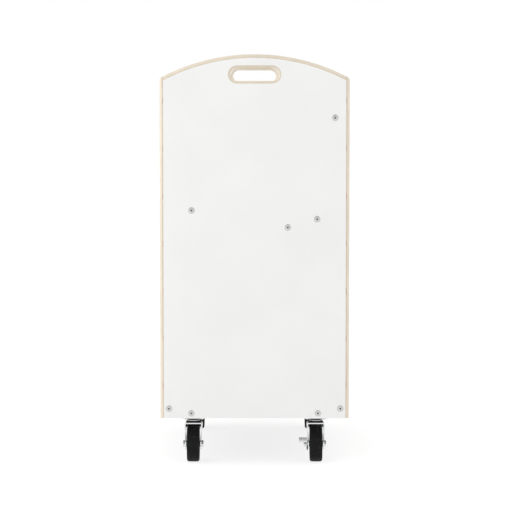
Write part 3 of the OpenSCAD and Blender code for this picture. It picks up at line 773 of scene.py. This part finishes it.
class TROLLEY_OT_connectors(TrolleyOperator):
    """Makes the connector bolts and the barrel nuts that they screw into"""

    bl_idname = "trolley.connectors"
    bl_label = "Connector bolts"

    def make(self, scene):
        sizes = scene.trolley_fasteners
        nickel = bright_metal("Bright nickel", scene.trolley_metal.nickel, 0.12, 0.24)
        found = solids("connector_bolts")
        places = []
        for points in found:
            low, high = points.min(0), points.max(0)
            out = Vector((0, math.copysign(1, low[1] + high[1]), 0))
            seat = (high if out.y > 0 else low)[1] - out.y * sizes.head
            places.append(aimed(Vector(((low[0] + high[0]) / 2, seat, (low[2] + high[2]) / 2)), out))
        spread = found[0].max(0) - found[0].min(0)
        bolt = self.bolt(sizes, spread[0] / 2, spread[1] - sizes.head)
        bolts = repeated(bolt, places)
        piece("connector_bolt_set", bolts, nickel, "bright_nickel", "connector_bolts")

        found = solids("barrel_nuts")
        places = [self.nut_place(points) for points in found]
        nut = self.nut(sizes, *self.nut_size(found[0], places[0]))
        piece("barrel_nut_set", repeated(nut, places), nickel, "bright_nickel", "barrel_nuts")

    def bolt(self, sizes, rim, deep):
        """One bolt about Z, its head above z = 0."""
        neck, shank = sizes.neck / 2, sizes.shank / 2
        end = -deep
        plain = end + sizes.threaded
        taper, lead = 0.8 * MM, 0.6 * MM
        under = [
            (0.0, end, 0),
            (shank - taper, end, 0),
            *threaded(shank, end + lead, plain, sizes.thread),
            (shank, plain + lead, 0),
            (shank, -sizes.neck_length, 0),
            (neck, -sizes.neck_length, 0),
            (neck, 0.0, 0),
        ]
        side = sizes.head - sizes.rise
        edge = arc((rim - sizes.rounding, side), sizes.rounding, 0, 70, 4)
        fall = (sizes.head - edge[-1][1]) / (edge[-1][0] - sizes.flat)
        slope_end = (sizes.flat + sizes.soft, sizes.head - sizes.soft * fall)
        flat_edge = (sizes.flat - sizes.soft, sizes.head)
        head = [(rim - 0.1 * MM, 0.0), (rim, 0.12 * MM), *edge, slope_end, flat_edge]
        return headed_bolt(sizes, head, under, sizes.socket)

    def nut_place(self, points):
        """Where a barrel nut stands, with its slotted end towards its hole's mouth."""
        centre = (points.min(0) + points.max(0)) / 2
        spread = np.cov((points - centre).T)
        long_way = Vector(np.linalg.eigh(spread)[1][:, -1])
        outward = -long_way.z if abs(long_way.z) > 0.5 else long_way.x
        return aimed(Vector(centre), long_way if outward > 0 else -long_way)

    def nut_size(self, points, place):
        """A barrel nut's radius and length."""
        inverse = place.inverted()
        local = np.array([inverse @ Vector(point) for point in points])
        return local[:, 0].max(), 2 * local[:, 2].max()

    def nut(self, sizes, radius, tall):
        """One barrel nut about Z: a turned body, and two half moons beside its slot."""
        floor = tall / 2 - sizes.slot_depth
        edge = 0.5 * MM
        bm = turned([(radius - edge, -tall / 2, 0), (radius, -tall / 2 + edge, 0), (radius, floor, 0)])

        def upper():
            """The faces level with the slot's floor."""
            return [face for face in bm.faces if face.calc_center_median().z > floor - WELD]

        for side in (-1, 1):
            cap = upper()
            around = list({edge for face in cap for edge in face.edges})
            points = list({vert for face in cap for vert in face.verts})
            bmesh.ops.bisect_plane(
                bm, geom=cap + around + points,
                plane_co=(side * sizes.slot / 2, 0, 0), plane_no=(1, 0, 0),
            )
        moons = [face for face in upper() if abs(face.calc_center_median().x) > sizes.slot]
        grown = bmesh.ops.extrude_face_region(bm, geom=moons)["geom"]
        tops = [part for part in grown if isinstance(part, bmesh.types.BMVert)]
        bmesh.ops.translate(bm, verts=tops, vec=(0, 0, sizes.slot_depth))
        bmesh.ops.delete(bm, geom=[f for f in moons if f.is_valid], context="FACES_ONLY")
        bmesh.ops.recalc_face_normals(bm, faces=bm.faces)
        return eased(bm, 0.25 * MM, 2)


class TROLLEY_OT_mountings(TrolleyOperator):
    """Makes the casters' top plates and the screws that hold them"""

    bl_idname = "trolley.mountings"
    bl_label = "Top plates and screws"

    def make(self, scene):
        sizes, metal = scene.trolley_fasteners, scene.trolley_metal
        for name in CASTERS:
            finish = bright_metal(f"Greasy zinc plate {name}", metal.zinc, 0.16, 0.3)
            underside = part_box(f"top_plate_{name}")[0].z
            reach = 1.25 * metal.shade_reach
            # The top plate takes painted shade round its swivel
            paint_swivel_shade(finish, metal, middle(f"top_plate_{name}"), reach, underside - 1 * MM)
            plate = eased(welded(f"top_plate_{name}"), metal.sheet_edge)
            piece(f"mounting_plate_{name}", plate, finish, "bright_zinc", f"top_plate_{name}")
        zinc = bright_metal("Bright zinc screws", metal.zinc, 0.2, 0.38)
        places = []
        for points in solids("plate_screws"):
            low, high = points.min(0), points.max(0)
            seat = Vector(((low[0] + high[0]) / 2, (low[1] + high[1]) / 2, low[2] + sizes.screw_head))
            places.append(aimed(seat, Vector((0, 0, -1))))
        screw = self.screw(sizes, (high[0] - low[0]) / 2, high[2] - seat.z)
        piece("plate_screw_set", repeated(screw, places), zinc, "bright_zinc", "plate_screws")

    def screw(self, sizes, rim, deep):
        """One button-headed screw about Z, its head above z = 0."""
        shank, tall = sizes.shank / 2, sizes.screw_head
        pitch = sizes.thread * 1.6
        under = [
            (0.0, -deep, 0),
            (shank - 1.0 * MM, -deep + 0.6 * MM, 0),
            *threaded(shank, -deep + 1.2 * MM, -3 * MM, pitch),
            (shank, -2.4 * MM, 0),
            (shank, 0.0, 0),
        ]
        flat, edge = sizes.drive * 0.72, 0.5 * MM
        turns = [math.radians(15 * part) for part in range(1, 7)]
        dome = [
            (flat + (rim - flat) * math.cos(t), edge + (tall - edge) * math.sin(t)) for t in turns
        ]
        head = [(rim - 0.1 * MM, 0.0), (rim, edge), *dome]
        return headed_bolt(sizes, head, under, sizes.drive)


class TROLLEY_OT_forks(TrolleyOperator):
    """Makes the casters' pressed forks"""

    bl_idname = "trolley.forks"
    bl_label = "Forks"

    def make(self, scene):
        metal = scene.trolley_metal
        for name in CASTERS:
            finish = bright_metal(f"Greasy zinc fork {name}", metal.zinc, 0.12, 0.26)
            boss_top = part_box(f"fork_{name}")[1].z
            # The fork takes painted shade over its crown round the swivel
            paint_swivel_shade(finish, metal, middle(f"top_plate_{name}"), metal.shade_reach, boss_top - metal.boss)
            fork = eased(welded(f"fork_{name}"), metal.sheet_edge)
            piece(f"pressed_fork_{name}", fork, finish, "bright_zinc", f"fork_{name}")


class TROLLEY_OT_axles(TrolleyOperator):
    """Makes the axle bolts and their nuts"""

    bl_idname = "trolley.axles"
    bl_label = "Axle bolts and nuts"

    def make(self, scene):
        sizes = scene.trolley_fasteners
        zinc = bright_metal("Bright zinc axles", scene.trolley_metal.zinc, 0.16, 0.3)
        for name in CASTERS:
            low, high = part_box(f"axle_bolt_{name}")
            nut_low, nut_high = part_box(f"axle_nut_{name}")
            centre = middle(f"axle_nut_{name}")
            across = nut_high.y - nut_low.y
            thick = nut_high.x - nut_low.x
            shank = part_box(f"axle_sleeve_{name}")[1].z - centre.z - sizes.sleeve
            place = aimed(Vector((high.x - thick, centre.y, centre.z)), Vector((1, 0, 0)))
            end = low.x - (high.x - thick)
            taper = sizes.chamfer * 0.6
            rings = [
                (0.0, end, 0),
                (shank - taper, end, 0),
                (shank, end + taper, 0),
                (shank, 0.0, 0),
                *hex_head(across, 0.0, thick, sizes.chamfer),
                (0.0, thick, 0),
            ]
            bolt = repeated(eased(turned(rings), 0.2 * MM, 2), [place])
            piece(f"hex_axle_bolt_{name}", bolt, zinc, "bright_zinc", f"axle_bolt_{name}")
            rings = [(shank, 0.0, 0), *hex_head(across, 0.0, thick, sizes.chamfer), (shank, thick, 0)]
            place = aimed(Vector((nut_high.x, centre.y, centre.z)), Vector((-1, 0, 0)))
            nut = repeated(eased(bored(rings), 0.2 * MM, 2), [place])
            piece(f"hex_axle_nut_{name}", nut, zinc, "bright_zinc", f"axle_nut_{name}")


class TROLLEY_OT_wheels(TrolleyOperator):
    """Makes the tyres and the ribbed hubs"""

    bl_idname = "trolley.wheels"
    bl_label = "Wheels"

    def make(self, scene):
        looks = scene.trolley_wheels
        rubber = black_rubber(looks)
        plastic = dark_moulding("Hub plastic", looks.plastic)
        for name in CASTERS:
            low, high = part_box(f"tyre_{name}")
            centre = (low + high) / 2
            outer, half = (high.z - low.z) / 2, (high.x - low.x) / 2
            tyre = spun_about_x(self.tyre_outline(looks, outer, half), centre, STEPS)
            piece(f"moulded_tyre_{name}", tyre, rubber, "black_tyre", f"tyre_{name}")
            hub_low, hub_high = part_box(f"wheel_hub_{name}")
            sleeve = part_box(f"axle_sleeve_{name}")[1].z - centre.z
            hub = self.hub(looks, centre, (hub_high.x - hub_low.x) / 2, outer, half, sleeve)
            piece(f"ribbed_hub_{name}", hub, plastic, "dark_hub", f"wheel_hub_{name}")

    def tyre_outline(self, looks, outer, half):
        """The section of a tyre: swelling tread with a seam, round shoulders, grooved sidewalls."""
        inner = outer - looks.tyre
        round_r = looks.shoulder
        tread = outer - 0.12 * MM
        edge = tread - looks.crown
        # How deep, and how many millimetres above the rim, the sidewall's points lie
        sidewall = ((0, 0.4), (0, 2.2), (looks.groove, 2.8), (looks.groove, 4.2), (0, 4.8))
        right = [
            *[(half - deep, inner + above * MM) for deep, above in sidewall],
            *arc((half - round_r, edge - round_r), round_r, 0, 84, 8),
            ((half - round_r) * 0.5, tread - looks.crown * 0.25),
            (looks.seam, tread),
            (looks.seam * 0.5, tread),
            (looks.seam * 0.3, outer),
        ]
        left = [(-across, radius) for across, radius in reversed(right)]
        return [*right, *left, (-half + 0.5 * MM, inner), (half - 0.5 * MM, inner)]

    def hub(self, looks, centre, reach, outer, half, sleeve):
        """A moulded hub: boss, web, rim, and ribs raised between boss and rim on both sides."""
        rim_out = outer - looks.tyre
        rim_in = rim_out - looks.rim
        rim_half = half - 1 * MM
        web, top = looks.web / 2, rim_half - 2.5 * MM
        bore = sleeve + looks.gap
        right = [
            (reach, bore),
            (reach, looks.nose),
            (half + 0.5 * MM, looks.nose + 0.2 * MM),
            (half - 0.2 * MM, looks.boss - 1 * MM),
            (half - 1.2 * MM, looks.boss),
            (top, looks.boss),
            (web, looks.boss),
            (web, rim_in),
            (top, rim_in),
            (rim_half, rim_in),
            (rim_half, rim_out),
        ]
        left = [(-across, radius) for across, radius in reversed(right)]
        share = 8
        steps = looks.ribs * share
        bm = spun_about_x([*right, *left], centre, steps)
        self.raise_ribs(bm, centre, share, steps, (web, top), (looks.boss, rim_in))
        return eased(bm, 0.35 * MM, 2, 40)

    def raise_ribs(self, bm, centre, share, steps, heights, radii):
        """Opens the web at every rib, and closes it again over the rib's top and flanks."""

        def sector(point):
            around = math.atan2(point.z - centre.z, point.y - centre.y) - math.pi / 2
            return math.floor(around / (2 * math.pi) * steps) % steps

        def inside(point):
            tall = abs(point.x - centre.x)
            radius = math.hypot(point.y - centre.y, point.z - centre.z)
            fits = heights[0] - WELD < tall < heights[1] - WELD
            return fits and radii[0] * 0.98 < radius < radii[1] * 1.01 and sector(point) % share == 0

        opened = [face for face in bm.faces if inside(face.calc_center_median())]
        bmesh.ops.delete(bm, geom=opened, context="FACES")
        pairs = {}
        for edge in bm.edges:
            mid = (edge.verts[0].co + edge.verts[1].co) / 2
            if edge.is_boundary and abs(abs(mid.x - centre.x) - heights[1]) < WELD:
                pairs.setdefault((mid.x > centre.x, sector(mid)), []).append(edge)
        for pair in pairs.values():
            bmesh.ops.bridge_loops(bm, edges=pair)
        bmesh.ops.holes_fill(bm, edges=[edge for edge in bm.edges if edge.is_boundary], sides=4)
        bmesh.ops.recalc_face_normals(bm, faces=bm.faces)


class TROLLEY_OT_brakes(TrolleyOperator):
    """Makes the brake levers and their cams"""

    bl_idname = "trolley.brakes"
    bl_label = "Brakes"

    def make(self, scene):
        metal = scene.trolley_metal
        zinc = bright_metal("Bright zinc levers", metal.zinc, 0.18, 0.34)
        dark = dark_moulding("Dark cam", scene.trolley_wheels.oxide)
        for name in BRAKED:
            low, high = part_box(f"brake_lever_{name}")
            axle = middle(f"axle_nut_{name}")
            lever = welded(f"brake_lever_{name}")
            far = 0.93 * max(self.from_axle(vert.co, axle) for vert in lever.verts)

            def folded(edge):
                """Whether an edge is one of the pedal's two outer folds."""
                one, two = edge.verts
                lengthways = abs(one.co.x - two.co.x) > 10 * MM
                return lengthways and min(self.from_axle(v.co, axle) for v in edge.verts) > far

            eased(lever, metal.bend, 5, where=folded)
            eased(lever, metal.sheet_edge, 3)
            piece(f"pressed_lever_{name}", lever, zinc, "bright_zinc", f"brake_lever_{name}")
            cam = eased(welded(f"brake_cam_{name}"), 0.6 * MM)
            piece(f"cast_cam_{name}", cam, dark, "dark_cam", f"brake_cam_{name}")

    def from_axle(self, point, axle):
        return math.hypot(point.y - axle.y, point.z - axle.z)


class TROLLEY_OT_bearings(TrolleyOperator):
    """Finishes the races, balls, king pins and sleeves"""

    bl_idname = "trolley.bearings"
    bl_label = "Bearings"

    def make(self, scene):
        metal = scene.trolley_metal
        steel = bright_metal("Bearing steel", metal.steel, 0.12, 0.26)
        zinc = bright_metal("Bright zinc pins", metal.zinc, 0.2, 0.34)
        for name in CASTERS:
            for node in ("upper_race", "race_balls", "axle_sleeve"):
                dress(f"{node}_{name}", steel)
            dress(f"king_pin_{name}", zinc)


class TROLLEY_OT_stage(TrolleyOperator):
    """Sets the camera, the pale floor and the soft light"""

    bl_idname = "trolley.stage"
    bl_label = "Stage"

    def make(self, scene):
        stage = scene.trolley_stage
        low, high = CAD_BOX
        self.camera(scene, stage)
        self.floor(stage)
        self.sky(scene, stage)
        for name, setting, width, place, mirrored in LAMPS:
            lamp = self.lamp(name, getattr(stage, setting), width, Vector(place), (low + high) / 2)
            lamp.visible_glossy = mirrored
        scene.view_settings.view_transform = "Standard"

    def camera(self, scene, stage):
        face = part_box("front_panel_laminates")[0].y
        data = bpy.data.cameras.new("Camera")
        data.sensor_width = SENSOR
        data.lens = stage.focal
        data.clip_end = 100
        camera = bpy.data.objects.new("Camera", data)
        camera.location = (0, face - stage.distance, stage.height)
        camera.rotation_euler = Euler((math.pi / 2 - stage.pitch, 0, stage.yaw))
        scene.collection.objects.link(camera)
        scene.camera = camera

    def floor(self, stage):
        bm = bmesh.new()
        bmesh.ops.create_grid(bm, x_segments=1, y_segments=1, size=FLOOR_REACH)
        mesh = mesh_of(bm, "Floor")
        floor = bpy.data.objects.new("Floor", mesh)
        bpy.context.scene.collection.objects.link(floor)
        mesh.materials.append(self.floor_material(stage))

    def floor_material(self, stage):
        """A pale floor that looks white where it is lit, and keeps a share of its shadows."""
        material = bpy.data.materials.new("Pale floor")
        material.use_nodes = True
        tree = material.node_tree
        tree.nodes.clear()
        plain = shader_node(tree, "BsdfDiffuse", stage.floor).outputs[0]
        shaded = shader_node(tree, "BsdfDiffuse", (stage.shadow,) * 3).outputs[0]
        lit = shader_node(tree, "Emission", (1, 1, 1), stage.glow).outputs[0]
        both = shader_node(tree, "AddShader", shaded, lit).outputs[0]
        choice = shader_node(tree, "MixShader", self.seen(tree), plain, both).outputs[0]
        shader_node(tree, "OutputMaterial", choice)
        return material

    def seen(self, tree):
        """1 on rays from the camera and on those that reflect or pass through."""
        path = shader_node(tree, "LightPath").outputs
        found = path["Is Camera Ray"]
        for kind in ("Is Glossy Ray", "Is Transmission Ray"):
            found = shader_node(tree, "Math", found, path[kind], operation="MAXIMUM").outputs[0]
        return found

    def sky(self, scene, stage):
        """Soft light from all around, and a white backdrop. Both fade towards the zenith."""
        world = bpy.data.worlds.new("Studio")
        world.use_nodes = True
        tree = world.node_tree
        tree.nodes.clear()
        towards = shader_node(tree, "TexCoord").outputs["Generated"]
        upwards = shader_node(tree, "SeparateXYZ", towards).outputs["Z"]
        dimmer = smooth_range(tree, upwards, *LIGHT_FADE, 1, stage.zenith)
        darker = smooth_range(tree, upwards, *BACKDROP_FADE, 1, stage.ceiling)
        light = shader_node(tree, "Background", dimmer, stage.sky).outputs[0]
        backdrop = shader_node(tree, "Background", darker, 1).outputs[0]
        choice = shader_node(tree, "MixShader", self.seen(tree), light, backdrop).outputs[0]
        shader_node(tree, "OutputWorld", choice)
        scene.world = world

    def lamp(self, name, power, width, place, target):
        data = bpy.data.lights.new(name, "AREA")
        data.energy = power
        data.size = width
        lamp = bpy.data.objects.new(name, data)
        lamp.location = place
        lamp.rotation_euler = (target - place).to_track_quat("-Z", "Y").to_euler()
        bpy.context.scene.collection.objects.link(lamp)
        return lamp


class TROLLEY_PT_tools(bpy.types.Panel):
    """Lists the trolley's operators and sizes"""

    bl_idname = "TROLLEY_PT_tools"
    bl_label = "Book trolley"
    bl_space_type = "VIEW_3D"
    bl_region_type = "UI"
    bl_category = "Trolley"

    def draw(self, context):
        for maker in MAKERS:
            self.layout.operator(maker.bl_idname)
        for name in GROUPS:
            box = self.layout.box()
            group = getattr(context.scene, name)
            for setting in group.bl_rna.properties:
                if setting.identifier not in ("rna_type", "name"):
                    box.prop(group, setting.identifier)


GROUPS = {
    "trolley_boards": TrolleyBoards,
    "trolley_metal": TrolleyMetal,
    "trolley_fasteners": TrolleyFasteners,
    "trolley_wheels": TrolleyWheels,
    "trolley_stage": TrolleyStage,
}
MAKERS = (
    TROLLEY_OT_boards,
    TROLLEY_OT_connectors,
    TROLLEY_OT_mountings,
    TROLLEY_OT_forks,
    TROLLEY_OT_axles,
    TROLLEY_OT_wheels,
    TROLLEY_OT_brakes,
    TROLLEY_OT_bearings,
    TROLLEY_OT_stage,
)


def register():
    for group in (*GROUPS.values(), *MAKERS, TROLLEY_PT_tools):
        bpy.utils.register_class(group)
    for name, group in GROUPS.items():
        setattr(bpy.types.Scene, name, bpy.props.PointerProperty(type=group))


def unregister():
    for name in GROUPS:
        delattr(bpy.types.Scene, name)
    for group in (TROLLEY_PT_tools, *reversed(MAKERS), *reversed(GROUPS.values())):
        bpy.utils.unregister_class(group)


def main():
    register()
    for maker in MAKERS:
        family, action = maker.bl_idname.split(".")
        getattr(getattr(bpy.ops, family), action)()


if __name__ == "__main__":
    main()
